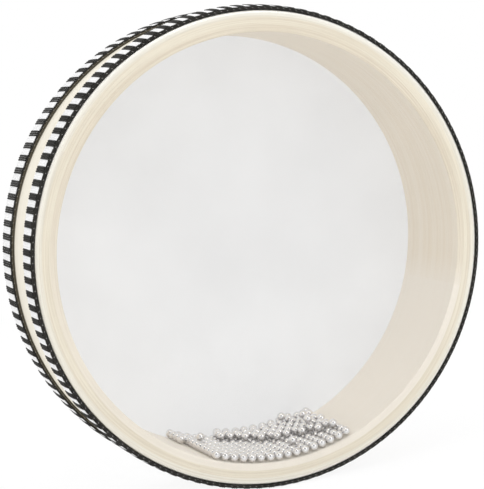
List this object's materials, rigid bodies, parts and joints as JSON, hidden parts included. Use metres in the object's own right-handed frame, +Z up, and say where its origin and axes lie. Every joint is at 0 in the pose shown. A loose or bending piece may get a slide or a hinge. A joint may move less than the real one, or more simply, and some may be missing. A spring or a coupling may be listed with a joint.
{
  "type": "ocean drum",
  "caption": "Round hand drum with a bent wood hoop, a clear front head, a milky back head, striped woven trim and loose steel balls that roll inside.",
  "frame": {"origin": "middle of the drum, on its axis and halfway between the heads, which is the middle between the two hands that hold it upright", "axes": "+Y along the drum's axis from the clear head to the milky head, +Z up, +X to the right of someone who looks at the clear head"},
  "size_m": [0.2548, 0.06, 0.2548],
  "materials": {
    "hoop_wood": "pale bent veneer, satin lacquer",
    "clear_film": "clear polyester film",
    "milky_film": "milky white polyester film",
    "white_ribbon": "woven ribbon with a corded edge",
    "black_braid": "raised woven check",
    "steel_ball": "polished"
  },
  "bodies": {
    "drum": {"back_head": "milky_film", "back_trim_ribbon": "white_ribbon", "back_trim_stripes": "black_braid", "front_head": "clear_film", "front_trim_ribbon": "white_ribbon", "front_trim_stripes": "black_braid", "hoop_ply_1": "hoop_wood", "hoop_ply_2": "hoop_wood", "hoop_ply_3": "hoop_wood"},
    "front_balls": {"ball_row_01": "steel_ball", "ball_row_02": "steel_ball", "ball_row_03": "steel_ball", "ball_row_04": "steel_ball"},
    "middle_balls": {"ball_row_05": "steel_ball", "ball_row_06": "steel_ball", "ball_row_07": "steel_ball", "ball_row_08": "steel_ball"},
    "back_balls": {"ball_row_09": "steel_ball", "ball_row_10": "steel_ball", "ball_row_11": "steel_ball"},
    "heap_balls": {"heap_row_02": "steel_ball", "heap_row_03": "steel_ball", "heap_row_04": "steel_ball", "heap_row_05": "steel_ball", "heap_row_06": "steel_ball", "heap_row_07": "steel_ball", "heap_row_08": "steel_ball", "heap_row_09": "steel_ball", "heap_row_10": "steel_ball"},
    "crest": {"crest_balls": "steel_ball"}
  },
  "joints": [
    {"name": "front_balls_roll", "type": "hinge", "parent": "drum", "child": "front_balls", "pos_m": [0, 0, 0], "axis": [0, 1, 0], "continuous": true},
    {"name": "middle_balls_roll", "type": "hinge", "parent": "drum", "child": "middle_balls", "pos_m": [0, 0, 0], "axis": [0, 1, 0], "continuous": true},
    {"name": "back_balls_roll", "type": "hinge", "parent": "drum", "child": "back_balls", "pos_m": [0, 0, 0], "axis": [0, 1, 0], "continuous": true},
    {"name": "heap_balls_roll", "type": "hinge", "parent": "drum", "child": "heap_balls", "pos_m": [0, 0, 0], "axis": [0, 1, 0], "continuous": true},
    {"name": "crest_balls_slide", "type": "slide", "parent": "heap_balls", "child": "crest", "axis": [0, 1, 0], "range_m": [-0.008, 0.008]}
  ]
}
